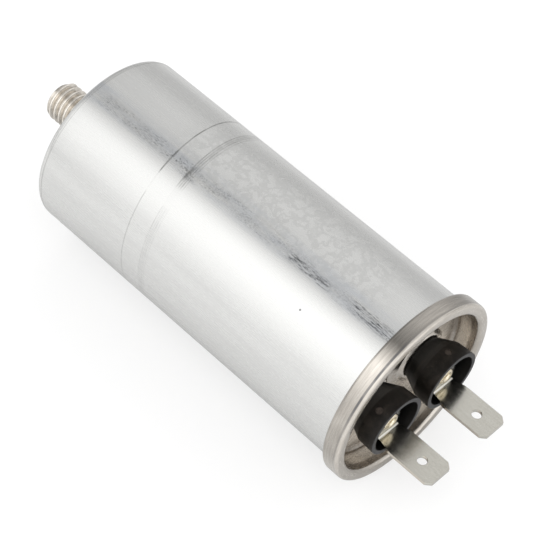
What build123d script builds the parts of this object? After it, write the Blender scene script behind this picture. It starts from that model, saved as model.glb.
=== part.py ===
from build123d import *
import math
import os

# Motor-run capacitor: extruded aluminium can with a threaded stud, a double-seamed lid
# and two riveted flat blade terminals in insulator cups.
# Millimetres. +Z runs along the can, from the stud to the terminals.
# The origin is the centre of the can's flat bottom, at the root of the stud.

# Can, one impact-extruded piece with its stud
can_diameter = 36.0
can_height = 79.5            # flat bottom to the crown of the rolled seam
can_wall = 0.45
can_floor = 1.6
can_corner_radius = 1.2
stud_diameter = 8.0
stud_length = 13.8
stud_tip_chamfer = 0.7

# Lid and the double seam that closes the can
lid_sheet = 0.45
lid_depth = 5.3              # crown of the seam down to the flat panel
panel_corner_radius = 0.9
seam_height = 3.7
seam_outer_crown_radius = 0.65
seam_inner_crown_radius = 0.9
seam_foot_radius = 0.6
seam_fold_radius = 0.5
seam_clearance = 0.05
seam_hook_gap = 0.5          # cover hook's tip below the can's flange
seam_seal_height = 0.35
flange_radius = 0.15
pad_height = 0.7             # embossed pad under each insulator
pad_top_radius = 5.0
pad_slope_width = 0.8

# Terminals
terminal_spacing = 14.5
tab_width = 6.3
tab_thickness = 0.8
tab_stem_width = 5.1
tab_offset = 3.0             # rivet axis to the near face of the blade
tab_bend_radius = 0.5
tab_rise = 12.6              # plate's top face to the tip of the blade
tab_flare_rise = 3.2
tab_corner_width = 0.95
tab_corner_length = 1.1
tab_hole_diameter = 1.9
tab_hole_from_tip = 4.4
rivet_diameter = 2.6
rivet_roll_diameter = 3.5    # tubular end, rolled over the plate
rivet_bore_diameter = 1.4
rivet_bore_depth = 3.2       # below the plate's top face
rivet_head_diameter = 4.8    # solid head, inside the can
rivet_head_height = 0.6

# Insulators, gaskets and contact washers
cup_height = 7.1             # pad to the mouth
cup_cone_height = 3.5
cup_cone_spread = 1.65
cup_wall = 0.9
cup_draft = 0.2              # growth in radius from the shoulder to the mouth
cup_edge_radius = 0.2
cup_floor_height = 3.2
cup_seat_depth = 2.4         # mouth down to the seat of the blade's plate
cup_seat_radius = 3.3
cup_spigot_wall = 1.4
cup_spigot_length = 2.0
gate_mark_diameter = 1.3
gate_mark_depth = 0.15
gate_mark_height = 4.8       # above the pad
gate_mark_angles = {"left": -92.0, "right": -59.5}   # each cup as it was turned when riveted
gasket_width = 0.9
gasket_height = 0.4
bush_radius = 4.6
bush_height = 2.5
washer_radius = 4.3
washer_thickness = 0.6
rivet_clearance = 0.08
spigot_clearance = 0.1
tab_to_cup_wall = 0.36

# Winding and what holds it
base_spacer_thickness = 1.5
top_spacer_thickness = 1.7
spray_thickness = 0.6
core_diameter = 6.0
core_bore = 4.0
resin_gap = 1.2              # can wall to the insulating sleeve
resin_cover = 1.1
sleeve_wall = 0.4
winding_clearance = 0.08
head_space = 4.8             # resin's top to the rivets' heads
lead_diameter = 1.0
lead_bend_radius = 0.8
lead_clearance = 0.1
lead_drop = 1.2
lead_edge_margin = 0.4

# Radii worked out from the sheets of the seam, from the inside out
can_radius = can_diameter / 2
can_bore_radius = can_radius - can_wall
chuck_radius = can_bore_radius - seam_clearance - lid_sheet
cover_hook_radius = can_radius + seam_clearance
body_hook_radius = cover_hook_radius + lid_sheet + seam_clearance
seam_radius = body_hook_radius + can_wall + seam_clearance + lid_sheet

# Heights worked out down from the crown of the seam
panel_top = can_height - lid_depth
pad_top = panel_top + pad_height
seam_foot = can_height - seam_height
flange_top = can_height - lid_sheet - seam_clearance
flange_bottom = flange_top - can_wall
seal_bottom = seam_foot + seam_foot_radius + seam_clearance
hook_bottom = seal_bottom + seam_seal_height + seam_clearance
cup_mouth = pad_top + cup_height
plate_bottom = cup_mouth - cup_seat_depth
plate_top = plate_bottom + tab_thickness
tab_tip = plate_top + tab_rise
bush_top = pad_top - lid_sheet
bush_bottom = bush_top - bush_height
washer_bottom = bush_bottom - washer_thickness
head_bottom = washer_bottom - rivet_head_height
spigot_bottom = pad_top - cup_spigot_length

# Radii of the terminal stack
rivet_radius = rivet_diameter / 2
rivet_hole_radius = rivet_radius + rivet_clearance
spigot_radius = rivet_hole_radius + cup_spigot_wall
spigot_hole_radius = spigot_radius + spigot_clearance
cup_bore_radius = math.hypot(tab_width / 2, tab_offset + tab_thickness) + tab_to_cup_wall
cup_mouth_radius = cup_bore_radius + cup_wall
cup_shoulder_radius = cup_mouth_radius - cup_draft
cup_base_radius = cup_shoulder_radius - cup_cone_spread
lead_offset = washer_radius - lead_diameter / 2 - lead_edge_margin

# Heights of the winding stack, up from the can's floor
base_spacer_top = can_floor + base_spacer_thickness
film_bottom = base_spacer_top + spray_thickness
resin_top = head_bottom - head_space
top_spacer_top = resin_top - resin_cover
spray_top = top_spacer_top - top_spacer_thickness
film_top = spray_top - spray_thickness
sleeve_radius = can_bore_radius - resin_gap
sleeve_bore_radius = sleeve_radius - sleeve_wall
winding_radius = sleeve_bore_radius - winding_clearance

sides = {"left": -1, "right": 1}


def section(*lines):
    """Closed outline in the XZ plane, where X is the radius."""
    return Plane.XZ * make_face(Curve() + list(lines))


def turned(face):
    return revolve(face, Axis.Z, 360)


def turned_outline(points):
    return turned(section(Polyline(*points, close=True)))


def sheet_face(points, radii, thickness, side):
    """Section of a bent sheet: one surface's path, thickened to one side."""
    path = FilletPolyline(*points, radius=radii)
    return make_face(offset(path, amount=thickness, side=side, closed=True).edges())


def tube(outer_radius, inner_radius, bottom, top):
    return turned_outline([
        (inner_radius, bottom), (outer_radius, bottom), (outer_radius, top), (inner_radius, top),
    ])


def disc(radius, bottom, top):
    return Pos(0, 0, bottom) * Cylinder(radius, top - bottom, align=(Align.CENTER, Align.CENTER, Align.MIN))


def terminal_place(side):
    return Pos(side * terminal_spacing / 2, 0, 0)


def make_can():
    """Floor, wall and outward hook are one sheet; the floor is thicker and carries the stud."""
    wall_path = [
        (0, 0), (can_radius, 0), (can_radius, flange_bottom),
        (body_hook_radius, flange_bottom), (body_hook_radius, hook_bottom),
    ]
    radii = [can_corner_radius, flange_radius, flange_radius]
    shell = turned(Plane.XZ * sheet_face(wall_path, radii, can_wall, Side.LEFT))
    floor_disc = disc(can_bore_radius, can_wall, can_floor)
    stud = disc(stud_diameter / 2, -stud_length, can_wall)
    stud = chamfer(stud.edges().sort_by(Axis.Z)[0], stud_tip_chamfer)
    return shell + floor_disc + stud


def make_lid():
    """Pressed from one sheet: flat panel, chuck wall, crown, and the hook folded under the can's."""
    path = [
        (0, panel_top), (chuck_radius, panel_top), (chuck_radius, can_height), (seam_radius, can_height),
        (seam_radius, seam_foot), (cover_hook_radius, seam_foot),
        (cover_hook_radius, flange_bottom - seam_hook_gap),
    ]
    radii = [
        panel_corner_radius, seam_inner_crown_radius, seam_outer_crown_radius, seam_foot_radius,
        seam_fold_radius,
    ]
    lid = turned(Plane.XZ * sheet_face(path, radii, lid_sheet, Side.RIGHT))
    for side in sides.values():
        lid += terminal_place(side) * pad_cone(panel_top)
        lid -= terminal_place(side) * pad_cone(panel_top - lid_sheet)
        lid -= terminal_place(side) * disc(spigot_hole_radius, panel_top - lid_sheet, pad_top + lid_sheet)
    return lid


def pad_cone(bottom):
    wide = pad_top_radius + pad_slope_width
    cone = Cone(wide, pad_top_radius, pad_height, align=(Align.CENTER, Align.CENTER, Align.MIN))
    return Pos(0, 0, bottom) * cone


def make_seam_seal():
    """Sealing ring under the end of the can's hook."""
    return tube(body_hook_radius + can_wall, body_hook_radius, seal_bottom, seal_bottom + seam_seal_height)


def make_cup():
    """Insulator cup: waisted base on the pad, sharp shoulder, thin wall, moat round the plate's seat."""
    shoulder = pad_top + cup_cone_height
    moat_floor = pad_top + cup_floor_height
    gasket_radius = spigot_hole_radius + gasket_width
    profile = [
        (rivet_hole_radius, spigot_bottom), (spigot_radius, spigot_bottom),
        (spigot_radius, pad_top + gasket_height), (gasket_radius + spigot_clearance, pad_top + gasket_height),
        (gasket_radius + spigot_clearance, pad_top), (cup_base_radius, pad_top),
        (cup_shoulder_radius, shoulder), (cup_mouth_radius, cup_mouth),
        (cup_bore_radius, cup_mouth), (cup_bore_radius, moat_floor),
        (cup_seat_radius, moat_floor), (cup_seat_radius, plate_bottom), (rivet_hole_radius, plate_bottom),
    ]
    cup = turned_outline(profile)
    mouth_edges = cup.edges().filter_by(GeomType.CIRCLE).sort_by(Axis.Z)[-2:]
    cup = fillet(mouth_edges, cup_edge_radius)
    mark = Pos(cup_shoulder_radius, 0, pad_top + gate_mark_height) * Rot(0, 90, 0)
    return cup - mark * Cylinder(gate_mark_diameter / 2, 2 * gate_mark_depth)


def make_gasket():
    return tube(spigot_hole_radius + gasket_width, spigot_hole_radius, pad_top, pad_top + gasket_height)


def make_bush():
    """Lower insulator: seats under the pad and sleeves the cup's spigot."""
    shelf = spigot_bottom - spigot_clearance
    return turned_outline([
        (rivet_hole_radius, bush_bottom), (bush_radius, bush_bottom), (bush_radius, bush_top),
        (spigot_hole_radius, bush_top), (spigot_hole_radius, shelf), (rivet_hole_radius, shelf),
    ])


def make_tab():
    """Blade terminal bent up from a round-ended plate, flared from stem to full width."""
    back = tab_offset + tab_thickness
    bend_outside = tab_bend_radius + tab_thickness
    stem, half = tab_stem_width / 2, tab_width / 2
    path = [(-stem, plate_bottom), (back, plate_bottom), (back, tab_tip)]
    strip = Plane.YZ * sheet_face(path, [bend_outside], tab_thickness, Side.LEFT)
    strip = extrude(strip, half, both=True)
    flare_bottom = plate_bottom + bend_outside
    flare_top = plate_top + tab_flare_rise
    shoulder = tab_tip - tab_corner_length
    right_edge = [
        (stem, plate_bottom), (stem, flare_bottom), (half, flare_top), (half, shoulder),
        (half - tab_corner_width, tab_tip),
    ]
    front = right_edge + [(-x, z) for x, z in reversed(right_edge)]
    front_cut = extrude(section(Polyline(*front, close=True)), back + stem, both=True)
    plan = Circle(stem) + Pos(0, back) * Rectangle(tab_width, 2 * back)
    plan_cut = Pos(0, 0, plate_bottom) * extrude(plan, tab_tip - plate_bottom)
    tab = strip & front_cut & plan_cut
    tab -= disc(rivet_hole_radius, plate_bottom, plate_top)
    eye = Pos(0, back, tab_tip - tab_hole_from_tip) * Rot(90, 0, 0)
    return tab - eye * Cylinder(tab_hole_diameter / 2, 2 * back - tab_thickness)


def make_rivet():
    """Tubular rivet: solid head under the washer, open end rolled into a ring over the plate."""
    bore_radius = rivet_bore_diameter / 2
    roll_radius = (rivet_roll_diameter / 2 - bore_radius) / 2
    head_radius = rivet_head_diameter / 2
    bore_bottom = plate_top - rivet_bore_depth
    bore_mouth = (bore_radius, plate_top)
    roll_crest = (bore_radius + roll_radius, plate_top + roll_radius)
    roll_edge = (bore_radius + 2 * roll_radius, plate_top)
    roll = ThreePointArc(bore_mouth, roll_crest, roll_edge)
    outline = Polyline(
        roll_edge, (rivet_radius, plate_top), (rivet_radius, washer_bottom),
        (head_radius, washer_bottom), (head_radius, head_bottom), (0, head_bottom),
        (0, bore_bottom), (bore_radius, bore_bottom), bore_mouth,
    )
    return turned(section(roll, outline))


def make_washer():
    return tube(washer_radius, rivet_hole_radius, washer_bottom, bush_bottom)


def lead_x(side):
    return side * (terminal_spacing / 2 - lead_offset)


def make_left_lead():
    """Straight wire from the left contact washer down to the top spray layer."""
    return Pos(lead_x(sides["left"]), 0, 0) * disc(lead_diameter / 2, spray_top, washer_bottom)


def make_right_lead():
    """Wire from the right contact washer, stepped to the axis and down the core to the bottom spray."""
    start_x = lead_x(sides["right"])
    first_bend = washer_bottom - lead_drop
    second_bend = resin_top + lead_drop
    path = Plane.XZ * FilletPolyline(
        (start_x, washer_bottom), (start_x, first_bend), (0, second_bend), (0, film_bottom),
        radius=lead_bend_radius,
    )
    return sweep(Plane((start_x, 0, washer_bottom), z_dir=(0, 0, -1)) * Circle(lead_diameter / 2), path)


def lead_holes(bottom, top):
    radius = lead_diameter / 2 + lead_clearance
    return [Pos(x, 0, 0) * disc(radius, bottom, top) for x in (lead_x(sides["left"]), 0)]


def make_top_spacer():
    plate = disc(winding_radius, spray_top, top_spacer_top)
    return plate - lead_holes(spray_top, top_spacer_top)


def make_potting_resin():
    """Resin round the sleeve and over the winding, set round both leads."""
    inner, outer = sleeve_radius + winding_clearance, can_bore_radius - winding_clearance
    resin = turned_outline([
        (inner, base_spacer_top), (outer, base_spacer_top), (outer, resin_top),
        (0, resin_top), (0, top_spacer_top), (inner, top_spacer_top),
    ])
    return resin - lead_holes(top_spacer_top, resin_top)


def make_pieces():
    pieces = {
        "can": make_can(),
        "lid": make_lid(),
        "seam_seal": make_seam_seal(),
        "base_spacer": disc(can_bore_radius - winding_clearance, can_floor, base_spacer_top),
        "end_spray_bottom": disc(winding_radius, base_spacer_top, film_bottom),
        "film_winding": tube(winding_radius, core_diameter / 2 + winding_clearance, film_bottom, film_top),
        "winding_core": tube(core_diameter / 2, core_bore / 2, film_bottom, film_top),
        "end_spray_top": tube(winding_radius, core_bore / 2, film_top, spray_top),
        "insulating_sleeve": tube(sleeve_radius, sleeve_bore_radius, base_spacer_top, top_spacer_top),
        "top_spacer": make_top_spacer(),
        "potting_resin": make_potting_resin(),
        "lead_wire_left": make_left_lead(),
        "lead_wire_right": make_right_lead(),
    }
    cup = make_cup()
    stack = {
        "gasket": make_gasket(),
        "insulator_bush": make_bush(),
        "terminal_tab": make_tab(),
        "rivet": make_rivet(),
        "contact_washer": make_washer(),
    }
    for side, sign in sides.items():
        place = terminal_place(sign)
        pieces[f"insulator_cup_{side}"] = place * Rot(0, 0, gate_mark_angles[side]) * cup
        for name, solid in stack.items():
            pieces[f"{name}_{side}"] = place * solid
    return pieces


os.makedirs("parts", exist_ok=True)
for node, solid in make_pieces().items():
    export_step(solid, f"parts/{node}.step")
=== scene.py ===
import bpy
import bmesh
import math
from mathutils import Matrix, Vector, noise


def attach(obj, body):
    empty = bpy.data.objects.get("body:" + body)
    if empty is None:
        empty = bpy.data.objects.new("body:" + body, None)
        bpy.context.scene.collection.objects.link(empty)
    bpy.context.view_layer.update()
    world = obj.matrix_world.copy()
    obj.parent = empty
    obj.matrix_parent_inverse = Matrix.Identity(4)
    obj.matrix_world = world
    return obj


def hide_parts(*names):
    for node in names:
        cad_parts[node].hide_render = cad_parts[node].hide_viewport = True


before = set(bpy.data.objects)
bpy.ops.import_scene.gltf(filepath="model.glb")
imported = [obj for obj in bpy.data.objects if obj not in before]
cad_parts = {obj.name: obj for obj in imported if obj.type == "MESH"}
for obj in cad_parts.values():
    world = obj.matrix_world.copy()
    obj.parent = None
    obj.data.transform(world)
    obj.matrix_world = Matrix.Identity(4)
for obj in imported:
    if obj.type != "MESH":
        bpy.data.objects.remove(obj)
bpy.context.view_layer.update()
scene = bpy.context.scene
mm = 0.001
near = 1e-7                      # metres, for points that should lie in one place
mergeDistance = 0.002 * mm
roundingSteps = 6                # faces across a rounded corner
print("frame loaded")


# Mesh helpers. Sizes are in mm and become metres here.

def roundedWire(bm, corners, closed=False):
    # corners: (radius, height, rounding) in the XZ plane
    verts = [bm.verts.new((r * mm, 0, z * mm)) for r, z, rounding in corners]
    pairs = list(zip(verts, verts[1:]))
    if closed:
        pairs.append((verts[-1], verts[0]))
    for a, b in pairs:
        bm.edges.new((a, b))
    for vert, (r, z, rounding) in zip(verts, corners):
        if rounding:
            bmesh.ops.bevel(bm, geom=[vert], offset=rounding * mm, offset_type="OFFSET",
                            segments=roundingSteps, profile=0.5, affect="VERTICES", material=-1)


def spinRound(bm, steps):
    bmesh.ops.spin(bm, geom=bm.verts[:] + bm.edges[:], cent=(0, 0, 0), axis=(0, 0, 1), dvec=(0, 0, 0),
                   angle=math.tau, steps=steps, use_merge=True)
    tidyMesh(bm)


def tidyMesh(bm):
    bmesh.ops.remove_doubles(bm, verts=bm.verts, dist=mergeDistance)
    bmesh.ops.recalc_face_normals(bm, faces=bm.faces)


def shiftAcross(bm, x):
    bmesh.ops.translate(bm, verts=bm.verts, vec=(x * mm, 0, 0))


def planeCut(bm, point, normal, clear=False):
    return bmesh.ops.bisect_plane(bm, geom=bm.verts[:] + bm.edges[:] + bm.faces[:], dist=near,
                                  plane_co=point, plane_no=normal, clear_outer=clear)


def looseObject(name, bm):
    mesh = bpy.data.meshes.new(name)
    bm.to_mesh(mesh)
    bm.free()
    loose = bpy.data.objects.new(name, mesh)
    scene.collection.objects.link(loose)
    return loose


def joinInto(bm, other):
    mesh = bpy.data.meshes.new("joining")
    other.to_mesh(mesh)
    other.free()
    bm.from_mesh(mesh)
    bpy.data.meshes.remove(mesh)


def carved(bm, cutters):
    body = looseObject("carveBody", bm)
    tools = [looseObject("carveTool", cutter) for cutter in cutters]
    for tool in tools:
        cut = body.modifiers.new("cut", "BOOLEAN")
        cut.operation = "DIFFERENCE"
        cut.solver = "EXACT"
        cut.object = tool
    bpy.context.view_layer.update()
    evaluated = body.evaluated_get(bpy.context.evaluated_depsgraph_get())
    mesh = bpy.data.meshes.new_from_object(evaluated)
    result = bmesh.new()
    result.from_mesh(mesh)
    bpy.data.meshes.remove(mesh)
    for loose in [body] + tools:
        bpy.data.objects.remove(loose)
    bmesh.ops.remove_doubles(result, verts=result.verts, dist=mergeDistance / 2)
    return result


def finishPiece(name, bm, material, nodes, sharp, weighted=True):
    for face in bm.faces:
        face.smooth = True
    piece = looseObject(name, bm)
    piece.data.set_sharp_from_angle(angle=math.radians(sharp))
    piece.data.materials.append(material)
    if weighted:
        # large faces keep their own direction, so only the narrow rounded ones blend
        normals = piece.modifiers.new("normals", "WEIGHTED_NORMAL")
        normals.mode = "FACE_AREA"
        normals.weight = 100
        normals.keep_sharp = True
    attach(piece, "root")
    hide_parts(*nodes)
    print("piece", name, len(piece.data.polygons))


# Material helpers

def addNode(tree, kind, inputs=None, **settings):
    made = tree.nodes.new(kind)
    for key, value in settings.items():
        setattr(made, key, value)
    for key, value in (inputs or {}).items():
        if isinstance(value, bpy.types.NodeSocket):
            tree.links.new(value, made.inputs[key])
        else:
            made.inputs[key].default_value = value
    return made


def calc(tree, operation, a, b=0.0, clamp=False):
    return addNode(tree, "ShaderNodeMath", {0: a, 1: b}, operation=operation, use_clamp=clamp).outputs[0]


def product(tree, first, *others):
    for other in others:
        first = calc(tree, "MULTIPLY", first, other)
    return first


def strongest(tree, first, *others):
    for other in others:
        first = calc(tree, "MAXIMUM", first, other)
    return first


def bandMask(tree, value, low, high, soft):
    # 1 between low and high, fading out over soft on both sides
    rise = addNode(tree, "ShaderNodeMapRange", {"Value": value, "From Min": low - soft, "From Max": low},
                   interpolation_type="SMOOTHSTEP").outputs[0]
    fall = addNode(tree, "ShaderNodeMapRange", {"Value": value, "From Min": high + soft, "From Max": high},
                   interpolation_type="SMOOTHSTEP").outputs[0]
    return product(tree, rise, fall)


def grain(tree, vector, scale, detail=3.0, rough=0.5, warp=0.0):
    return addNode(tree, "ShaderNodeTexNoise", {"Vector": vector, "Scale": scale, "Detail": detail,
                                                "Roughness": rough, "Distortion": warp}).outputs["Fac"]


def stretched(tree, vector, scales, detail=3.0, rough=0.5):
    # grain with its own scale along X, Y and Z, per metre
    mapped = addNode(tree, "ShaderNodeMapping", {"Vector": vector, "Scale": scales}).outputs[0]
    return grain(tree, mapped, 1.0, detail, rough)


def spread(tree, value, low, high, toLow=0.0, toHigh=1.0):
    return addNode(tree, "ShaderNodeMapRange", {"Value": value, "From Min": low, "From Max": high,
                                                "To Min": toLow, "To Max": toHigh}).outputs[0]


def blendColor(tree, factor, a, b):
    made = addNode(tree, "ShaderNodeMix", data_type="RGBA", blend_type="MIX")
    for key, value in ((0, factor), (6, a), (7, b)):
        if isinstance(value, bpy.types.NodeSocket):
            tree.links.new(value, made.inputs[key])
        else:
            made.inputs[key].default_value = value
    return made.outputs[2]


def blendValue(tree, factor, a, b):
    return addNode(tree, "ShaderNodeMix", {0: factor, 2: a, 3: b}, data_type="FLOAT").outputs[0]


def split(tree, vector):
    return addNode(tree, "ShaderNodeSeparateXYZ", {0: vector}).outputs


def joined(tree, x, y, z=0.0):
    return addNode(tree, "ShaderNodeCombineXYZ", {0: x, 1: y, 2: z}).outputs[0]


def lengthOf(tree, vector):
    return addNode(tree, "ShaderNodeVectorMath", {0: vector}, operation="LENGTH").outputs["Value"]


def distanceTo(tree, place, spot):
    # spot: X, Y and Z in mm
    return addNode(tree, "ShaderNodeVectorMath", {0: place, 1: [value * mm for value in spot]},
                   operation="DISTANCE").outputs["Value"]


def degreesRound(tree, parts):
    return product(tree, calc(tree, "ARCTAN2", parts[1], parts[0]), 180 / math.pi)


def roundCoordinates(tree, place):
    # distance from the can's axis, angle round it in degrees, and height, all as sockets
    parts = split(tree, place)
    return lengthOf(tree, joined(tree, parts[0], parts[1])), degreesRound(tree, parts), parts[2]


def tone(r, g, b):
    return (r, g, b, 1.0)


def levelRamp(tree, value, table, peak):
    # table: places in rising order, each with its level, at most peak
    first, last = table[0][0], table[-1][0]
    ramp = addNode(tree, "ShaderNodeValToRGB", {0: spread(tree, value, first, last)})
    for place, level in table[1:-1]:
        ramp.color_ramp.elements.new((place - first) / (last - first))
    for element, (place, level) in zip(ramp.color_ramp.elements, table):
        element.position = (place - first) / (last - first)
        element.color = tone(level / peak, level / peak, level / peak)
    return product(tree, ramp.outputs[0], peak)


def startMaterial(name, metallic, specular=0.5):
    material = bpy.data.materials.new(name)
    material.use_nodes = True
    tree = material.node_tree
    shader = tree.nodes["Principled BSDF"]
    shader.inputs["Metallic"].default_value = metallic
    shader.inputs["Specular IOR Level"].default_value = specular
    place = addNode(tree, "ShaderNodeTexCoord").outputs["Object"]
    return material, tree, shader, place


def finishMaterial(tree, shader, color, roughness, relief, strength, depth):
    # depth of the relief in mm
    bumped = addNode(tree, "ShaderNodeBump", {"Height": relief, "Strength": strength, "Distance": depth * mm})
    tree.links.new(color, shader.inputs["Base Color"])
    tree.links.new(roughness, shader.inputs["Roughness"])
    tree.links.new(bumped.outputs[0], shader.inputs["Normal"])


# Can: drawn aluminium, brushed along its length, scored round and scratched

canLook = {
    "light": tone(0.72, 0.72, 0.705),
    "dark": tone(0.635, 0.635, 0.625),
    "smudge": tone(0.50, 0.50, 0.49),
    # bluish tint of a painted dark reflection along the can
    "darkTint": tone(0.50, 0.53, 0.58),
    "scratch": tone(0.045, 0.048, 0.054),
    "score": tone(0.13, 0.13, 0.12),
    "roughLow": 0.20,
    "roughHigh": 0.32,
    "fineBrushing": (6400, 6400, 620),
    "broadBrushing": (700, 700, 60),
    # first and last angle round the can in degrees, lowest and highest z in mm
    "smudgeZone": (-112, -78, 26, 64),
    "smudgeStrength": 0.30,
    # angles and strength of the painted dark reflection along the can
    "paintedReflectionAngles": (-79, -71),
    "paintedReflectionStrength": 0.55,
    # height, half width and strength of the lines scored round the can
    "scores": ((22.20, 0.04, 0.82), (22.30, 0.04, 0.62), (26.75, 0.04, 0.58), (27.22, 0.04, 0.44),
               (27.66, 0.04, 0.50), (28.16, 0.04, 0.32), (27.30, 0.42, 0.13)),
    # height, half width, angle, half angle and strength of their deeper stretches
    "deepScores": ((22.25, 0.10, -73.0, 4.0, 0.85), (27.00, 0.26, -71.5, 2.5, 0.62),
                   (22.28, 0.06, -96.0, 5.0, 0.40)),
    "scoreSlant": 1.3,           # the lines stand a little askew, by this much up and down in mm
    "scoreTurn": 64.0,
    "beadHeight": 1.36,
    "beadShade": 0.32,
    # angle, half angle, lowest and highest z in mm, strength
    "scratchZones": ((-72.3, 1.3, 53.0, 59.5, 1.0), (-72.6, 1.3, 68.0, 76.0, 1.0),
                     (-75.2, 0.5, 67.0, 74.0, 0.7)),
    "speckZones": ((-74.0, 2.8, 5.0, 48.0, 0.50), (-73.0, 3.0, 47.0, 77.0, 0.30),
                   (-73.5, 1.8, 20.5, 27.5, 0.65), (-71.5, 2.0, 26.2, 27.6, 0.8)),
    "dotAngle": -53.0,           # one dark speck
    "dotHeight": 59.9,
    "dotRadius": 0.14,
    "dotShade": 0.8,
}

canShell = {
    "radius": 18.0, "corner": 1.2, "wall": 0.45, "floor": 1.6, "floorRound": 0.3,
    "hookRadius": 18.55, "hookTop": 79.0, "hookBottom": 76.85, "bendRound": 0.15, "rollRound": 0.55,
    "beadDepth": 0.03, "beadHalf": 0.10,
    "steps": 224, "cutsAlong": 30,
    "waviness": 0.015, "waveScale": (90, 90, 45), "waveFrom": 3, "waveTo": 74,
}


def canMaterial():
    material, tree, shader, place = startMaterial("canAluminium", 1.0)
    angle, height = roundCoordinates(tree, place)[1:]
    fine = stretched(tree, place, canLook["fineBrushing"], 4.0, 0.6)
    broad = stretched(tree, place, canLook["broadBrushing"], 3.0, 0.55)
    streaks = calc(tree, "ADD", product(tree, fine, 0.6), product(tree, broad, 0.4))
    color = blendColor(tree, spread(tree, streaks, 0.30, 0.70), canLook["dark"], canLook["light"])

    # dried smudges: pale middles with darker edges
    first, last, low, high = canLook["smudgeZone"]
    patchy = bandMask(tree, grain(tree, place, 330, 6.0, 0.72, 0.15), 0.50, 0.54, 0.05)
    smudge = product(tree, bandMask(tree, angle, first, last, 12),
                     bandMask(tree, height, low * mm, high * mm, 10 * mm), patchy)
    color = blendColor(tree, product(tree, smudge, canLook["smudgeStrength"]), color, canLook["smudge"])
    # painted dark reflection: a bluish darker streak along the can, broken up by grain
    first, last = canLook["paintedReflectionAngles"]
    paintedReflectionGrain = spread(tree, stretched(tree, place, (500, 500, 90), 4.0, 0.65), 0.35, 0.68)
    darkTint = product(tree, bandMask(tree, angle, first, last, 6), paintedReflectionGrain, canLook["paintedReflectionStrength"])
    color = blendColor(tree, darkTint, color, canLook["darkTint"])

    # specks and long straight scratches along the can, both broken up
    specks = spread(tree, stretched(tree, place, (13000, 13000, 1300), 3.0, 0.65), 0.46, 0.57)
    speckle = spread(tree, grain(tree, place, 3000, 3.0, 0.6), 0.40, 0.56, 0.1, 1.0)
    wide = spread(tree, stretched(tree, place, (800, 800, 150), 2.0, 0.5), 0.40, 0.54, 0.15, 1.0)
    specks = product(tree, specks, speckle, wide)
    lines = spread(tree, stretched(tree, place, (7600, 7600, 330), 3.0, 0.7), 0.475, 0.54)
    broken = spread(tree, stretched(tree, place, (9000, 9000, 1500), 3.0, 0.65), 0.40, 0.54, 0.15, 1.0)
    lines = product(tree, lines, broken)
    scratches = []
    for zones, pattern in ((canLook["speckZones"], specks), (canLook["scratchZones"], lines)):
        for middle, half, low, high, amount in zones:
            scratches.append(product(tree, bandMask(tree, angle, middle - half, middle + half, 2.6),
                                     bandMask(tree, height, low * mm, high * mm, 3 * mm), amount, pattern))
    scratch = strongest(tree, *scratches)

    # scored lines round the can, worn away on the stretch beside the scratched side
    slant = calc(tree, "SINE", product(tree, calc(tree, "ADD", angle, canLook["scoreTurn"]), math.pi / 180))
    level = calc(tree, "SUBTRACT", height, product(tree, slant, canLook["scoreSlant"] * mm))
    rings = []
    for middle, half, *stretch, amount in canLook["scores"] + canLook["deepScores"]:
        ring = bandMask(tree, level, (middle - half) * mm, (middle + half) * mm, (half + 0.03) * mm)
        if stretch:
            turn, reach = stretch
            ring = product(tree, ring, bandMask(tree, angle, turn - reach, turn + reach, 5))
        rings.append(product(tree, ring, amount))
    uneven = spread(tree, stretched(tree, place, (320, 320, 4000), 4.0, 0.7), 0.34, 0.56, 0.35, 1.0)
    worn = spread(tree, bandMask(tree, angle, -60, -50, 4), 0.0, 1.0, 1.0, 0.12)
    faded = spread(tree, angle, -58, -50, 1.0, 0.38)
    rings = product(tree, strongest(tree, *rings), uneven, worn, faded)
    foot = canLook["beadHeight"]
    bead = bandMask(tree, height, (foot - 0.03) * mm, (foot + 0.03) * mm, 0.16 * mm)
    rings = strongest(tree, rings, product(tree, bead, canLook["beadShade"]))
    color = blendColor(tree, rings, color, canLook["score"])

    turn = math.radians(canLook["dotAngle"])
    spot = (canShell["radius"] * math.cos(turn), canShell["radius"] * math.sin(turn), canLook["dotHeight"])
    radius = canLook["dotRadius"] * mm
    dot = spread(tree, distanceTo(tree, place, spot), radius * 1.5, radius, 0.0, canLook["dotShade"])
    color = blendColor(tree, strongest(tree, scratch, dot), color, canLook["scratch"])

    rough = spread(tree, streaks, 0.35, 0.65, canLook["roughLow"], canLook["roughHigh"])
    rough = calc(tree, "ADD", rough, product(tree, smudge, 0.08))
    relief = calc(tree, "SUBTRACT", streaks, product(tree, strongest(tree, scratch, rings), 0.6))
    finishMaterial(tree, shader, color, rough, relief, 0.15, 0.03)
    return material


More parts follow.
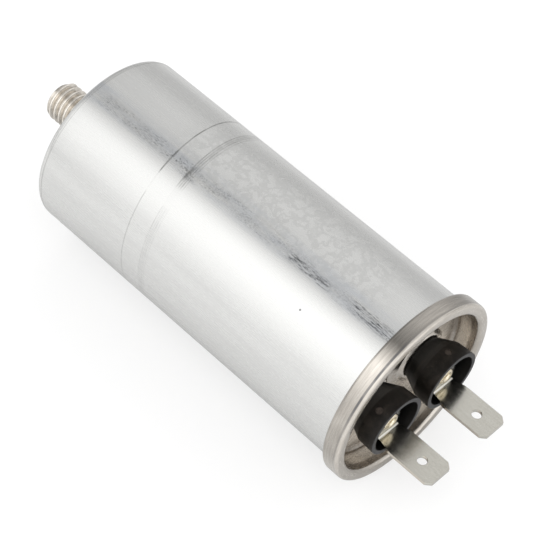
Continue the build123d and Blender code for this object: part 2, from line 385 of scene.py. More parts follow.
def makeCan(material):
    outside = canShell["radius"]
    inside = outside - canShell["wall"]
    hook = canShell["hookRadius"]
    lip = hook + canShell["wall"]
    middle = canLook["beadHeight"]
    under = canShell["hookTop"] - canShell["wall"]
    bend, roll = canShell["bendRound"], canShell["rollRound"]
    bm = bmesh.new()
    roundedWire(bm, [(0, 0, 0), (outside, 0, canShell["corner"]), (outside, middle - canShell["beadHalf"], 0),
                     (outside - canShell["beadDepth"], middle, 0), (outside, middle + canShell["beadHalf"], 0),
                     (outside, under, bend), (hook, under, bend), (hook, canShell["hookBottom"], 0),
                     (lip, canShell["hookBottom"], 0), (lip, canShell["hookTop"], roll),
                     (inside, canShell["hookTop"], roll), (inside, canShell["floor"], canShell["floorRound"]),
                     (0, canShell["floor"], 0)])
    tall = [edge for edge in bm.edges if edge.calc_length() > outside * mm
            and all(abs(vert.co.x - outside * mm) < near for vert in edge.verts)]
    bmesh.ops.subdivide_edges(bm, edges=tall, cuts=canShell["cutsAlong"])
    spinRound(bm, canShell["steps"])
    # the drawn wall is hardly visibly wavy
    for vert in bm.verts:
        across = Vector((vert.co.x, vert.co.y, 0))
        onWall = canShell["waveFrom"] * mm < vert.co.z < canShell["waveTo"] * mm
        if onWall and across.length > (outside - 0.1) * mm:
            wave = noise.noise(Vector([value * scale for value, scale in zip(vert.co, canShell["waveScale"])]))
            vert.co += across.normalized() * wave * canShell["waviness"] * mm
    finishPiece("can_shell", bm, material, ["can"], 40)


# Stud: rolled M8 thread on the can's own metal

studLook = {
    "light": tone(0.86, 0.81, 0.74),
    "dark": tone(0.40, 0.37, 0.33),
    "roughLow": 0.16,
    "roughHigh": 0.34,
    "shadeFrom": 3.8,            # the grooves get darker from this radius down to the next, mm
    "shadeTo": 3.3,
    "grooveShade": 0.62,
    "dirtShade": 0.5,
}


def studMaterial():
    material, tree, shader, place = startMaterial("studAluminium", 1.0)
    radius = roundCoordinates(tree, place)[0]
    turnMarks = stretched(tree, place, (420, 420, 5200), 3.0, 0.6)
    darkening = spread(tree, grain(tree, place, 900, 4.0, 0.6), 0.45, 0.75, 0.0, studLook["dirtShade"])
    deep = spread(tree, radius, studLook["shadeTo"] * mm, studLook["shadeFrom"] * mm, 1.0, 0.0)
    shade = calc(tree, "ADD", product(tree, deep, studLook["grooveShade"]), darkening, clamp=True)
    color = blendColor(tree, shade, studLook["light"], studLook["dark"])
    rough = spread(tree, turnMarks, 0.3, 0.7, studLook["roughLow"], studLook["roughHigh"])
    finishMaterial(tree, shader, color, rough, turnMarks, 0.35, 0.04)
    return material


def makeStud(material):
    thread = {"crest": 4.0, "root": 3.28, "pitch": 1.25, "length": 13.8, "tipChamfer": 0.7, "stepsPerTurn": 72,
              "intoFloor": 0.4, "rootRound": 0.10, "crestRound": 0.12}
    pitch, root, crest = thread["pitch"], thread["root"], thread["crest"]
    rootRound, crestRound = thread["rootRound"], thread["crestRound"]
    bm = bmesh.new()
    # one turn's outline, its corners at shares of the pitch
    roundedWire(bm, [(root, 0, 0), (root, -0.10 * pitch, rootRound), (crest, -0.44 * pitch, crestRound),
                     (crest, -0.62 * pitch, crestRound), (root, -0.94 * pitch, rootRound), (root, -pitch, 0)])
    bmesh.ops.translate(bm, verts=bm.verts, vec=(0, 0, 1.6 * pitch * mm))
    turns = math.ceil(thread["length"] / pitch) + 3
    bmesh.ops.spin(bm, geom=bm.verts[:] + bm.edges[:], cent=(0, 0, 0), axis=(0, 0, -1),
                   dvec=(0, 0, -pitch * mm / thread["stepsPerTurn"]), angle=math.tau * turns,
                   steps=turns * thread["stepsPerTurn"], use_merge=False)
    bmesh.ops.remove_doubles(bm, verts=bm.verts, dist=1.5 * mergeDistance)
    for vert in bm.verts:
        across = math.hypot(vert.co.x, vert.co.y)
        intoChamfer = max(0, -vert.co.z / mm - (thread["length"] - thread["tipChamfer"]))
        limit = (crest - intoChamfer) * mm
        if across > limit > 0:
            vert.co.x *= limit / across
            vert.co.y *= limit / across
    for height, outward in ((-thread["length"], -1), (thread["intoFloor"], 1)):
        cut = planeCut(bm, (0, 0, height * mm), (0, 0, outward), clear=True)
        rim = [item for item in cut["geom_cut"] if isinstance(item, bmesh.types.BMEdge)]
        bmesh.ops.contextual_create(bm, geom=rim)
    tidyMesh(bm)
    finishPiece("threaded_stud", bm, material, ["can"], 50, weighted=False)


# Lid: one pressed sheet from the panel to the rolled hook

lidLook = {
    "light": tone(0.66, 0.625, 0.575),
    "dark": tone(0.53, 0.49, 0.44),
    "band": tone(0.47, 0.44, 0.40),
    # tone of cloudy stains on the lid
    "darkTint": tone(0.42, 0.37, 0.32),
    # tone of the painted shade on the sunk wall
    "paintedShade": tone(0.20, 0.17, 0.14),
    # tone of the painted reflection on the sunk wall
    "paintedSheen": tone(0.80, 0.76, 0.70),
    "line": tone(0.12, 0.12, 0.125),
    "roughLow": 0.16,
    "roughHigh": 0.30,
    "crownGrooves": 9.0,
    # all in mm: z of the grain's change above the panel, radii and heights on the sunk wall
    "panelTop": (75.6, 75.0),
    "wallInner": (15.6, 16.0),
    "wallOuter": (17.7, 17.3),
    # heights of the painted reflection band on the sunk wall, then of the painted shade in its corner and under the
    # crown
    "sheenHeights": (75.65, 77.30),
    "cornerHeights": (74.40, 75.00),
    "underHeights": (77.85, 78.50),
    "crownInner": (17.0, 17.2),
    "bandInner": (18.4, 18.6),
    "bandTop": 78.82,            # where the rolled band turns into the crown
    # painted highlight and painted dark reflection on the rolled band, by angle round the can
    "bandPaintedLight": ((-180, 1.0), (-140, 0.86), (-126, 0.66), (-116, 0.76), (-104, 0.92), (-88, 0.80),
                  (-80, 0.60), (-72, 0.44), (-66, 0.84), (-57, 1.38), (-48, 1.14), (-40, 0.88), (-32, 0.84),
                  (-22, 0.98), (-14, 0.86), (-6, 0.90), (2, 0.84), (10, 0.98), (20, 1.26), (40, 1.1),
                  (180, 1.0)),
    "bandPeak": 1.5,
    # strength of the painted dark reflection line between the band and the crown, by angle round the can
    "lineShade": ((-180, 0.15), (-100, 0.2), (-80, 0.35), (-66, 0.9), (-34, 0.9), (-16, 0.3), (10, 0.12),
                  (180, 0.15)),
}


def lidMaterial():
    material, tree, shader, place = startMaterial("lidSheet", 1.0)
    radius, angle, height = roundCoordinates(tree, place)

    def across(limits, value=radius):
        return spread(tree, value, limits[0] * mm, limits[1] * mm)

    def between(limits, soft):
        return bandMask(tree, height, limits[0] * mm, limits[1] * mm, soft * mm)

    turned = joined(tree, product(tree, radius, 5200), product(tree, height, 5200), product(tree, angle, 0.16))
    rolled = grain(tree, turned, 1.0, 4.0, 0.6)
    flat = stretched(tree, place, (300, 3600, 900), 4.0, 0.6)
    lines = blendValue(tree, across(lidLook["panelTop"], height), rolled, flat)
    cloudy = grain(tree, place, 240, 4.0, 0.6, 0.4)
    color = blendColor(tree, spread(tree, lines, 0.30, 0.70), lidLook["dark"], lidLook["light"])
    color = blendColor(tree, spread(tree, cloudy, 0.55, 0.78, 0.0, 0.5), color, lidLook["darkTint"])

    # the wall of the sunk panel carries a painted reflection, a pale band in its middle, and painted shade in its
    # corner and under the crown, uneven in strength
    inWall = product(tree, across(lidLook["wallInner"]), across(lidLook["wallOuter"]))
    paintedSheen = product(tree, inWall, between(lidLook["sheenHeights"], 0.40), 0.8)
    color = blendColor(tree, paintedSheen, color, lidLook["paintedSheen"])
    darkening = strongest(tree, product(tree, between(lidLook["cornerHeights"], 0.35), 0.85),
                     product(tree, between(lidLook["underHeights"], 0.45), 0.70))
    darkening = product(tree, inWall, darkening, spread(tree, cloudy, 0.30, 0.60, 0.45, 0.95))
    color = blendColor(tree, darkening, color, lidLook["paintedShade"])

    # the rolled band is duller than the crown above it, and streaked round; its painted highlight and painted dark
    # reflection change with the angle round the can
    outer = across(lidLook["bandInner"])
    top = lidLook["bandTop"] * mm
    onBand = product(tree, outer, spread(tree, height, top + 0.06 * mm, top - 0.02 * mm))
    alongBand = joined(tree, product(tree, height, 2300), product(tree, angle, 0.045))
    streak = spread(tree, grain(tree, alongBand, 1.0, 4.0, 0.6), 0.35, 0.65, 0.86, 1.12)
    shade = product(tree, levelRamp(tree, angle, lidLook["bandPaintedLight"], lidLook["bandPeak"]), streak)
    banded = blendColor(tree, spread(tree, rolled, 0.25, 0.75, 0.92, 0.62), color, lidLook["band"])
    banded = addNode(tree, "ShaderNodeVectorMath", {0: banded, "Scale": shade}, operation="SCALE").outputs[0]
    color = blendColor(tree, onBand, color, banded)
    # painted dark reflection: a dark line along the top of the rolled band, its strength by angle
    edge = product(tree, outer, bandMask(tree, height, top - 0.22 * mm, top + 0.06 * mm, 0.16 * mm),
                   levelRamp(tree, angle, lidLook["lineShade"], 1.0),
                   spread(tree, cloudy, 0.30, 0.55, 0.55, 1.0))
    color = blendColor(tree, edge, color, lidLook["line"])

    # the crown is polished round, so its fine grooves are the deepest
    onCrown = product(tree, spread(tree, height, top, top + 0.2 * mm), across(lidLook["crownInner"]))
    relief = product(tree, lines, spread(tree, onCrown, 0.0, 1.0, 1.0, lidLook["crownGrooves"]))
    rough = spread(tree, lines, 0.3, 0.7, lidLook["roughLow"], lidLook["roughHigh"])
    finishMaterial(tree, shader, color, rough, relief, 0.16, 0.03)
    return material


def makeLid(material):
    sheet = {"panel": 74.2, "flatRadius": 15.4, "wallRadius": 17.05, "wallRound": 0.9, "crown": 79.5,
             "seamRadius": 19.5, "seamRound": 0.65, "foot": 75.8, "footRound": 0.6, "hookRadius": 18.05,
             "hookRound": 0.5, "hookTip": 78.05, "thickness": 0.45, "steps": 256}
    pad = {"radius": 5.0, "slope": 0.8, "height": 0.7, "spacing": 14.5, "round": 0.22, "hole": 2.88,
           "margin": 0.45, "steps": 112}
    panel = sheet["panel"]
    bm = bmesh.new()
    roundedWire(bm, [(sheet["flatRadius"], panel, 0), (sheet["wallRadius"], panel, sheet["wallRound"]),
                     (sheet["wallRadius"], sheet["crown"], sheet["wallRound"]),
                     (sheet["seamRadius"], sheet["crown"], sheet["seamRound"]),
                     (sheet["seamRadius"], sheet["foot"], sheet["footRound"]),
                     (sheet["hookRadius"], sheet["foot"], sheet["hookRound"]),
                     (sheet["hookRadius"], sheet["hookTip"], 0)])
    spinRound(bm, sheet["steps"])
    raised = panel + pad["height"]
    slopeEnd = pad["radius"] + pad["slope"]
    for side in (-1, 1):
        form = bmesh.new()
        roundedWire(form, [(pad["hole"], raised, 0), (pad["radius"], raised, pad["round"]),
                           (slopeEnd, panel, pad["round"]), (slopeEnd + pad["margin"], panel, 0)])
        spinRound(form, pad["steps"])
        shiftAcross(form, side * pad["spacing"] / 2)
        joinInto(bm, form)
    # the flat panel fills what is left between the wall and the two pads
    level = [edge for edge in bm.edges if edge.is_boundary
             and all(abs(vert.co.z - panel * mm) < near and vert.co.xy.length < 16 * mm for vert in edge.verts)]
    bmesh.ops.triangle_fill(bm, use_beauty=True, edges=level)
    tidyMesh(bm)
    middle = min(bm.faces, key=lambda face: face.calc_center_median().xy.length)
    if middle.normal.z < 0:
        bmesh.ops.reverse_faces(bm, faces=bm.faces)
    bmesh.ops.solidify(bm, geom=bm.faces[:], thickness=sheet["thickness"] * mm)
    finishPiece("lid_sheet", bm, material, ["lid"], 60)


# Insulator cups: dark moulded thermoset

cupLook = {
    "dark": tone(0.0055, 0.0042, 0.0031),
    "light": tone(0.0190, 0.0148, 0.0110),
    # tone of the painted shade in the well
    "inside": tone(0.0012, 0.0011, 0.0009),
    "rim": tone(0.036, 0.036, 0.037),
    "gate": tone(0.075, 0.058, 0.048),
    "gloss": 0.32,
    "roughLow": 0.36,
    "roughHigh": 0.58,
    # places in mm
    "spacing": 14.5,
    "mouth": 82.0,
    # radii over which the painted shade of the well fades in, mm
    "wellEdge": (5.45, 5.38),
    "gateAngles": {"left": -92.0, "right": -59.5},
    "gateHeight": 79.7,
    "gateRadius": 0.65,
    "gateEdge": 0.07,
    "gateDepth": 0.36,
    "wallAtGate": 6.07,
}


def cupMaterial():
    material, tree, shader, place = startMaterial("cupThermoset", 0.0, cupLook["gloss"])
    parts = split(tree, place)
    cloudy = grain(tree, place, 420, 5.0, 0.66, 0.5)
    fine = grain(tree, place, 2600, 4.0, 0.6)
    color = blendColor(tree, spread(tree, cloudy, 0.46, 0.66), cupLook["dark"], cupLook["light"])
    color = blendColor(tree, spread(tree, fine, 0.62, 0.80, 0.0, 0.35), color, cupLook["gate"])
    # painted shade darkens the well round the blade, and the worn rim is paler
    across = calc(tree, "SUBTRACT", calc(tree, "ABSOLUTE", parts[0]), cupLook["spacing"] / 2 * mm)
    around = lengthOf(tree, joined(tree, across, parts[1]))
    outer, inner = cupLook["wellEdge"]
    color = blendColor(tree, spread(tree, around, outer * mm, inner * mm, 0.0, 0.9), color, cupLook["inside"])
    mouth = cupLook["mouth"]
    rim = product(tree, spread(tree, parts[2], (mouth - 0.10) * mm, (mouth - 0.03) * mm),
                  spread(tree, fine, 0.25, 0.55, 0.75, 1.0))
    color = blendColor(tree, rim, color, cupLook["rim"])
    for side, sign in (("left", -1), ("right", 1)):
        turn = math.radians(cupLook["gateAngles"][side])
        spot = (sign * cupLook["spacing"] / 2 + cupLook["wallAtGate"] * math.cos(turn),
                cupLook["wallAtGate"] * math.sin(turn), cupLook["gateHeight"])
        gate = spread(tree, distanceTo(tree, place, spot), (cupLook["gateRadius"] + cupLook["gateEdge"]) * mm,
                      (cupLook["gateRadius"] - cupLook["gateEdge"]) * mm, 0.0, 0.8)
        gate = product(tree, gate, spread(tree, fine, 0.3, 0.6, 0.4, 1.0))
        color = blendColor(tree, gate, color, cupLook["gate"])
    rough = spread(tree, cloudy, 0.3, 0.7, cupLook["roughLow"], cupLook["roughHigh"])
    finishMaterial(tree, shader, color, rough, calc(tree, "ADD", fine, cloudy), 0.25, 0.05)
    return material


def makeCup(side, sign, material):
    cup = {"bore": 1.38, "spigot": 2.78, "spigotBottom": 72.9, "gasketRadius": 3.88, "gasket": 75.3, "base": 74.9,
           "baseRadius": 4.372, "shoulder": 78.4, "shoulderRadius": 6.022, "mouthRadius": 6.222,
           "boreRadius": 5.322, "moat": 78.1, "seatRadius": 3.3, "seat": 79.6, "steps": 160,
           "ragged": 0.035, "raggedHalf": 0.16, "raggedDepth": 0.25, "raggedScale": 1500}
    mouth = cupLook["mouth"]
    bm = bmesh.new()
    roundedWire(bm, [(cup["bore"], cup["spigotBottom"], 0), (cup["spigot"], cup["spigotBottom"], 0.15),
                     (cup["spigot"], cup["gasket"], 0), (cup["gasketRadius"], cup["gasket"], 0),
                     (cup["gasketRadius"], cup["base"], 0), (cup["baseRadius"], cup["base"], 0.08),
                     (cup["shoulderRadius"], cup["shoulder"], 0.12), (cup["mouthRadius"], mouth, 0.12),
                     (cup["boreRadius"], mouth, 0.10), (cup["boreRadius"], cup["moat"], 0.3),
                     (cup["seatRadius"], cup["moat"], 0.2), (cup["seatRadius"], cup["seat"], 0.1),
                     (cup["bore"], cup["seat"], 0)], closed=True)
    spinRound(bm, cup["steps"])
    # a shallow round gate mark on the wall
    turn = Matrix.Rotation(math.radians(cupLook["gateAngles"][side]), 4, "Z")
    aim = Matrix.Translation((cupLook["wallAtGate"] * mm, 0, cupLook["gateHeight"] * mm))
    radius = cupLook["gateRadius"] * mm
    gate = bmesh.new()
    bmesh.ops.create_cone(gate, cap_ends=True, segments=40, radius1=radius, radius2=radius,
                          depth=cupLook["gateDepth"] * mm, matrix=turn @ aim @ Matrix.Rotation(math.pi / 2, 4, "Y"))
    bm = carved(bm, [gate])
    # the inner edge of the mouth is a little ragged
    for vert in bm.verts:
        edge = vert.co.xy.length - cup["boreRadius"] * mm
        if vert.co.z > (mouth - cup["raggedDepth"]) * mm and abs(edge) < cup["raggedHalf"] * mm:
            chip = noise.noise(Vector((vert.co.x * cup["raggedScale"], vert.co.y * cup["raggedScale"], 3.0 * sign)))
            vert.co.xy *= 1 + chip * cup["ragged"] * mm / vert.co.xy.length
    shiftAcross(bm, sign * cupLook["spacing"] / 2)
    finishPiece("cup_" + side, bm, material, ["insulator_cup_" + side], 28)


# Blade terminals: blanked flat, pierced, then bent up

bladeLook = {
    "light": tone(0.585, 0.57, 0.52),
    "dark": tone(0.515, 0.50, 0.45),
    "edge": tone(0.62, 0.56, 0.48),
    "roughLow": 0.15,
    "roughHigh": 0.22,
}


def bladeMaterial():
    material, tree, shader, place = startMaterial("tinnedBrass", 1.0)
    speckle = grain(tree, place, 4200, 3.0, 0.55)
    cloudy = grain(tree, place, 420, 3.0, 0.5)
    along = stretched(tree, place, (2600, 900, 500), 3.0, 0.55)
    facing = split(tree, addNode(tree, "ShaderNodeNewGeometry").outputs["True Normal"])
    sheared = spread(tree, calc(tree, "ABSOLUTE", facing[0]), 0.80, 0.95, 0.0, 0.75)
    mixed = calc(tree, "ADD", product(tree, speckle, 0.5), product(tree, along, 0.5))
    color = blendColor(tree, spread(tree, mixed, 0.34, 0.66), bladeLook["dark"], bladeLook["light"])
    color = blendColor(tree, spread(tree, cloudy, 0.55, 0.8, 0.0, 0.35), color, bladeLook["dark"])
    color = blendColor(tree, sheared, color, bladeLook["edge"])
    rough = spread(tree, mixed, 0.35, 0.65, bladeLook["roughLow"], bladeLook["roughHigh"])
    finishMaterial(tree, shader, color, rough, mixed, 0.22, 0.02)
    return material


def makeBlade(side, sign, material):
    blade = {"stem": 2.55, "half": 3.15, "thickness": 0.8, "bottom": 79.6, "bendStart": 2.5, "bendRadius": 1.3,
             "bendCuts": 12, "flareTop": 2.7, "shoulder": 11.0, "tip": 12.1, "cornerWidth": 0.95,
             "cornerRound": 0.12, "rivetHole": 1.38, "holeRadius": 0.95, "holeFromTip": 4.4,
             "border": 0.62, "coined": 0.05, "edgeBreak": 0.05}
    stem, wide, thickness = blade["stem"], blade["half"], blade["thickness"]
    middle = blade["bendRadius"] - thickness / 2
    bendLength = middle * math.pi / 2
    start = blade["bendStart"] + bendLength      # where the upright part begins on the flat blank
    tip = start + blade["tip"]
    half = [(stem, -stem, stem - 0.01), (stem, start, 0.3), (wide, start + blade["flareTop"], 0.4),
            (wide, start + blade["shoulder"], blade["cornerRound"]),
            (wide - blade["cornerWidth"], tip, blade["cornerRound"])]
    bm = bmesh.new()
    roundedWire(bm, half + [(-x, y, rounding) for x, y, rounding in reversed(half)], closed=True)
    bmesh.ops.rotate(bm, verts=bm.verts, cent=(0, 0, 0), matrix=Matrix.Rotation(-math.pi / 2, 3, "X"))
    face = bmesh.ops.contextual_create(bm, geom=bm.edges[:])["faces"][0]
    raised = bmesh.ops.extrude_face_region(bm, geom=[face])["geom"]
    bmesh.ops.translate(bm, verts=[item for item in raised if isinstance(item, bmesh.types.BMVert)],
                        vec=(0, 0, thickness * mm))
    tidyMesh(bm)
    punches = []
    for distance, radius in ((0, blade["rivetHole"]), (tip - blade["holeFromTip"], blade["holeRadius"])):
        punch = bmesh.new()
        bmesh.ops.create_cone(punch, cap_ends=True, segments=56, radius1=radius * mm, radius2=radius * mm,
                              depth=4 * mm, matrix=Matrix.Translation((0, distance * mm, 0)))
        punches.append(punch)
    bm = carved(bm, punches)
    rims = [edge for edge in bm.edges if edge.calc_face_angle(0) > math.radians(60)
            and abs(edge.verts[0].co.z - edge.verts[1].co.z) < near]
    bmesh.ops.bevel(bm, geom=rims, offset=blade["edgeBreak"] * mm, offset_type="OFFSET", segments=2,
                    profile=0.5, affect="EDGES", material=-1)
    # cuts across for the bend, and along the border that is pressed thinner
    inner = wide - blade["border"]
    cuts = [(0, blade["bendStart"] + bendLength * step / blade["bendCuts"])
            for step in range(blade["bendCuts"] + 1)]
    cuts += [(0, tip - blade["border"]), (1, inner), (1, -inner)]
    for across, place in cuts:
        normal = (1, 0, 0) if across else (0, 1, 0)
        planeCut(bm, [value * place * mm for value in normal], normal)
    for vert in bm.verts:
        x, y, h = (value / mm for value in vert.co)
        inset = max(abs(x) - inner, y - (tip - blade["border"]), 0) / blade["border"]
        if y > start + blade["flareTop"] and inset > 0:
            h += (thickness / 2 - h) * blade["coined"] * 2 * min(inset, 1)
        turn = min(max((y - blade["bendStart"]) / middle, 0), math.pi / 2)
        reach = blade["bendRadius"] - h
        flat = min(y, blade["bendStart"])
        upright = max(y - start, 0)
        vert.co = Vector((x, flat + reach * math.sin(turn),
                          blade["bottom"] + blade["bendRadius"] - reach * math.cos(turn) + upright)) * mm
    shiftAcross(bm, sign * cupLook["spacing"] / 2)
    finishPiece("blade_" + side, bm, material, ["terminal_tab_" + side], 30)


# Rivets: tubular, with the open end rolled into a ring over the plate

rivetLook = {
    "light": tone(0.86, 0.79, 0.64),
    "dark": tone(0.66, 0.57, 0.40),
    # tone of the painted shade in the bore
    "bore": tone(0.42, 0.31, 0.14),
    "boreTop": (80.4, 79.9),     # z where the bore gets dark, mm
}


def rivetMaterial():
    material, tree, shader, place = startMaterial("rivetBrass", 1.0)
    cloudy = grain(tree, place, 1500, 4.0, 0.6)
    fine = grain(tree, place, 6000, 2.0, 0.5)
    # painted shade darkens the bore below the plate
    top, bottom = rivetLook["boreTop"]
    inBore = spread(tree, split(tree, place)[2], top * mm, bottom * mm)
    color = blendColor(tree, spread(tree, cloudy, 0.35, 0.75), rivetLook["light"], rivetLook["dark"])
    color = blendColor(tree, inBore, color, rivetLook["bore"])
    finishMaterial(tree, shader, color, spread(tree, fine, 0.3, 0.7, 0.14, 0.3), fine, 0.25, 0.03)
    return material


def makeRivet(side, sign, material):
    rivet = {"shank": 1.3, "bore": 0.7, "boreBottom": 77.2, "roll": 1.75, "rollTop": 80.925, "plate": 80.4,
             "washer": 71.35, "head": 2.4, "headBottom": 70.75, "steps": 96}
    ring = rivet["rollTop"] - rivet["plate"]
    bm = bmesh.new()
    roundedWire(bm, [(0, rivet["boreBottom"], 0), (rivet["bore"], rivet["boreBottom"], 0.2),
                     (rivet["bore"], rivet["rollTop"], ring), (rivet["roll"], rivet["rollTop"], ring),
                     (rivet["roll"], rivet["plate"], 0), (rivet["shank"], rivet["plate"], 0),
                     (rivet["shank"], rivet["washer"], 0), (rivet["head"], rivet["washer"], 0.05),
                     (rivet["head"], rivet["headBottom"], 0.2), (0, rivet["headBottom"], 0)])
    spinRound(bm, rivet["steps"])
    shiftAcross(bm, sign * cupLook["spacing"] / 2)
    finishPiece("rivet_head_" + side, bm, material, ["rivet_" + side], 40)


# Pieces inside the sealed can keep their solids and get their own finishes

insideLook = {
    # two colours, scale, roughness, metallic, stretch, depth of relief in mm
    "sealRubber": ((0.012, 0.012, 0.012), (0.03, 0.03, 0.03), 2500, 0.75, 0.0, (1, 1, 1), 0.04),
    "spacerBoard": ((0.62, 0.59, 0.50), (0.76, 0.73, 0.64), 900, 0.7, 0.0, (1, 1, 1), 0.04),
    "sprayedZinc": ((0.34, 0.34, 0.36), (0.55, 0.55, 0.57), 5200, 0.55, 1.0, (1, 1, 1), 0.1),
    "metallisedFilm": ((0.58, 0.58, 0.61), (0.74, 0.74, 0.76), 300, 0.22, 0.8, (1, 1, 40), 0.04),
    "coreTube": ((0.72, 0.72, 0.70), (0.82, 0.82, 0.80), 700, 0.45, 0.0, (1, 1, 1), 0.04),
    "sleeveFilm": ((0.76, 0.76, 0.72), (0.86, 0.86, 0.83), 350, 0.4, 0.0, (1, 1, 1), 0.04),
    "pottingResin": ((0.055, 0.042, 0.030), (0.10, 0.08, 0.06), 260, 0.3, 0.0, (1, 1, 1), 0.04),
    "tinnedWire": ((0.50, 0.48, 0.45), (0.66, 0.64, 0.60), 2200, 0.3, 1.0, (1, 1, 0.2), 0.04),
    "bushThermoset": ((0.008, 0.007, 0.006), (0.024, 0.020, 0.017), 700, 0.5, 0.0, (1, 1, 1), 0.04),
    "washerBrass": ((0.50, 0.37, 0.17), (0.78, 0.64, 0.36), 1600, 0.25, 1.0, (1, 1, 1), 0.04),
}

insideFinishes = {
    "seam_seal": "sealRubber", "gasket": "sealRubber", "base_spacer": "spacerBoard", "top_spacer": "spacerBoard",
    "end_spray_bottom": "sprayedZinc", "end_spray_top": "sprayedZinc", "film_winding": "metallisedFilm",
    "winding_core": "coreTube", "insulating_sleeve": "sleeveFilm", "potting_resin": "pottingResin",
    "lead_wire": "tinnedWire", "insulator_bush": "bushThermoset", "contact_washer": "washerBrass",
}


def speckledMaterial(name, first, second, scale, rough, metallic, scales, depth):
    material, tree, shader, place = startMaterial(name, metallic)
    mapped = addNode(tree, "ShaderNodeMapping", {"Vector": place, "Scale": scales}).outputs[0]
    pattern = grain(tree, mapped, scale, 4.0, 0.6)
    color = blendColor(tree, spread(tree, pattern, 0.35, 0.65), tone(*first), tone(*second))
    rough = spread(tree, pattern, 0.3, 0.7, rough - 0.08, rough + 0.08)
    finishMaterial(tree, shader, color, rough, pattern, 0.3, depth)
    return material


def dressInside():
    made = {name: speckledMaterial(name, *values) for name, values in insideLook.items()}
    for name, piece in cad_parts.items():
        finish = insideFinishes.get(name, insideFinishes.get(name.rsplit("_", 1)[0]))
        if finish:
            piece.data.materials.clear()
            piece.data.materials.append(made[finish])


makeCan(canMaterial())
makeStud(studMaterial())
makeLid(lidMaterial())
cupFinish, bladeFinish, rivetFinish = cupMaterial(), bladeMaterial(), rivetMaterial()
for side, sign in (("left", -1), ("right", 1)):
    makeCup(side, sign, cupFinish)
    makeBlade(side, sign, bladeFinish)
    makeRivet(side, sign, rivetFinish)
dressInside()
print("pieces made")


# Stage: the can lies on its seam and its bottom edge on a white floor

stageLook = {
    "up": Vector((0.136, -0.991, 0.0)).normalized(),    # away from the floor, in the part's own frame
    "seamRadius": 19.5,
    "seamHeight": 77.0,
    "canRadius": 18.0,
    "canHeight": 1.0,
    "clear": 0.06,               # so that the can's waves don't poke through the floor
    "size": 6.0,                 # metres
    "matt": 0.50,                # share of the floor's white that takes shadows
    "mirrored": tone(0.50, 0.50, 0.50),      # the floor as the metal sees it
    # brightness that the metal sees in the floor, by X in mm
    "mirroredGlow": ((-160, 0.04), (-90, 0.09), (-59, 0.26), (-40, 0.14), (0, 0.10), (12, 0.11), (17.5, 0.26),
                     (23, 0.35), (30, 0.385), (43, 0.41), (69, 0.42), (178, 0.52)),
    "endGlow": 0.10,             # added beyond the lid, from one z to the next in mm
    "endFrom": 82,
    "endTo": 96,
}


def makeFloor():
    up = stageLook["up"]
    lean = math.atan2(stageLook["seamRadius"] - stageLook["canRadius"],
                      stageLook["seamHeight"] - stageLook["canHeight"])
    normal = (up * math.cos(lean) + Vector((0, 0, 1)) * math.sin(lean)).normalized()
    away = up * (stageLook["seamRadius"] + stageLook["clear"])
    touch = (Vector((0, 0, stageLook["seamHeight"])) - away) * mm
    tilt = normal.to_track_quat("Z", "Y").to_matrix().to_4x4()
    bm = bmesh.new()
    bmesh.ops.create_grid(bm, x_segments=1, y_segments=1, size=stageLook["size"] / 2)
    bmesh.ops.transform(bm, verts=bm.verts, matrix=Matrix.Translation(touch) @ tilt)
    floor = looseObject("studio_floor", bm)

    material = bpy.data.materials.new("studioFloor")
    material.use_nodes = True
    tree = material.node_tree
    tree.nodes.clear()
    # the camera sees white that takes the shadow, the metal sees a dimmer floor with a glow
    share = stageLook["matt"]
    matt = addNode(tree, "ShaderNodeBsdfDiffuse", {"Color": tone(share, share, share)}).outputs[0]
    white = addNode(tree, "ShaderNodeEmission", {"Strength": 1 - share}).outputs[0]
    matt = addNode(tree, "ShaderNodeAddShader", {0: matt, 1: white}).outputs[0]
    dim = addNode(tree, "ShaderNodeBsdfDiffuse", {"Color": stageLook["mirrored"]}).outputs[0]
    spot = split(tree, addNode(tree, "ShaderNodeTexCoord").outputs["Object"])
    along = levelRamp(tree, calc(tree, "DIVIDE", spot[0], mm), stageLook["mirroredGlow"], 1.0)
    beyond = spread(tree, spot[2], stageLook["endFrom"] * mm, stageLook["endTo"] * mm, 0.0, stageLook["endGlow"])
    strength = calc(tree, "ADD", along, beyond)
    glow = addNode(tree, "ShaderNodeEmission", {"Strength": strength}).outputs[0]
    glow = addNode(tree, "ShaderNodeAddShader", {0: dim, 1: glow}).outputs[0]
    clear = addNode(tree, "ShaderNodeBsdfTransparent").outputs[0]
    seen = addNode(tree, "ShaderNodeLightPath").outputs["Is Camera Ray"]
    behind = addNode(tree, "ShaderNodeNewGeometry").outputs["Backfacing"]
    front = addNode(tree, "ShaderNodeMixShader", {0: seen, 1: glow, 2: matt}).outputs[0]
    both = addNode(tree, "ShaderNodeMixShader", {0: behind, 1: front, 2: clear}).outputs[0]
    tree.links.new(both, addNode(tree, "ShaderNodeOutputMaterial").inputs[0])
    floor.data.materials.append(material)


# Room: a bright window on one side of pale walls

roomLook = {
    "peak": 1.7,
    # azimuth in degrees and brightness of the walls round the can
    "walls": ((-180, 0.72), (-172, 0.72), (-160, 0.80), (-150, 0.90), (-134, 0.96), (-118, 0.94), (-102, 0.86),
              (-90, 0.72), (-84, 0.68), (-76, 1.1), (-66, 1.46), (-58, 1.64), (-40, 1.60), (-22, 1.44),
              (-6, 1.22), (8, 1.08), (30, 1.0), (180, 0.72)),
    "footLevel": 0.66,           # share of that brightness far below the can
    "footFade": (-0.44, -0.60),
    "headLevel": 1.4,            # brightness where the lid points
    "headFade": (0.45, 0.85),
}


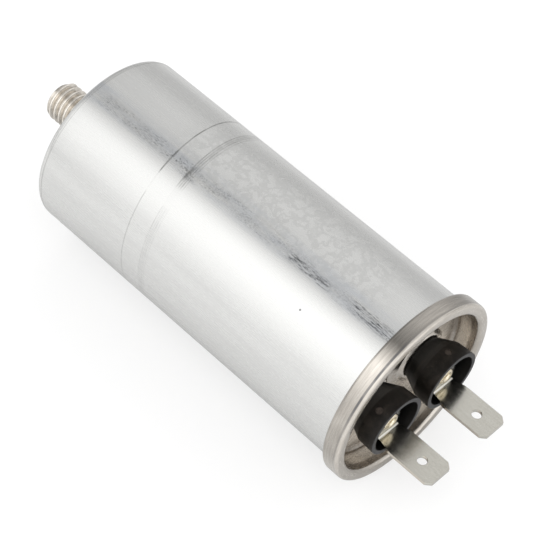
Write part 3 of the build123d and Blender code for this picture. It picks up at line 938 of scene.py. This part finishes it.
def makeWorld():
    world = bpy.data.worlds.new("paleRoom")
    scene.world = world
    world.use_nodes = True
    tree = world.node_tree
    tree.nodes.clear()
    parts = split(tree, addNode(tree, "ShaderNodeTexCoord").outputs["Generated"])
    walls = levelRamp(tree, degreesRound(tree, parts), roomLook["walls"], roomLook["peak"])
    foot = spread(tree, parts[2], *roomLook["footFade"], 1.0, roomLook["footLevel"])
    head = spread(tree, parts[2], *roomLook["headFade"])
    strength = blendValue(tree, head, product(tree, foot, walls), roomLook["headLevel"])
    seen = addNode(tree, "ShaderNodeLightPath").outputs["Is Camera Ray"]
    strength = blendValue(tree, seen, strength, 1.0)
    background = addNode(tree, "ShaderNodeBackground", {"Color": tone(1.0, 1.0, 1.0), "Strength": strength})
    tree.links.new(background.outputs[0], addNode(tree, "ShaderNodeOutputWorld").inputs[0])


lampLook = {"azimuth": -148, "rise": 0.1, "distance": 0.9, "width": 1.5, "length": 1.3, "energy": 4.6,
            "target": Vector((0, 0, 0.04))}


def makeLamp():
    data = bpy.data.lights.new("side_lamp", "AREA")
    data.shape = "RECTANGLE"
    data.size = lampLook["width"]
    data.size_y = lampLook["length"]
    data.energy = lampLook["energy"]
    angle = math.radians(lampLook["azimuth"])
    away = Vector((math.cos(angle), math.sin(angle), lampLook["rise"])).normalized()
    # the lamp's long side runs along the can
    aside = Vector((0, 0, 1)).cross(away).normalized()
    turned = Matrix((aside, away.cross(aside).normalized(), away)).transposed().to_4x4()
    lamp = bpy.data.objects.new("side_lamp", data)
    lamp.matrix_world = Matrix.Translation(lampLook["target"] + away * lampLook["distance"]) @ turned
    lamp.visible_glossy = False
    scene.collection.objects.link(lamp)


# Camera: the photograph's viewing angle

cameraLook = {
    "place": Vector((172.2, -269.6, 179.0)) * mm,
    "right": Vector((-0.7005, -0.0962, 0.7071)),
    "up": Vector((-0.5117, -0.6229, -0.5917)),
    "lens": 124.815,
    "sensor": 36,
    "clipStart": 0.01,
    "clipEnd": 20,
}


def makeCamera():
    data = bpy.data.cameras.new("camera")
    data.lens = cameraLook["lens"]
    data.sensor_width = cameraLook["sensor"]
    data.clip_start = cameraLook["clipStart"]
    data.clip_end = cameraLook["clipEnd"]
    camera = bpy.data.objects.new("camera", data)
    right, up = cameraLook["right"].normalized(), cameraLook["up"].normalized()
    back = right.cross(up).normalized()
    up = back.cross(right).normalized()
    turned = Matrix((right, up, back)).transposed().to_4x4()
    camera.matrix_world = Matrix.Translation(cameraLook["place"]) @ turned
    scene.collection.objects.link(camera)
    scene.camera = camera


makeFloor()
makeWorld()
makeLamp()
makeCamera()
scene.view_settings.view_transform = "Standard"
print("stage, light and camera made")
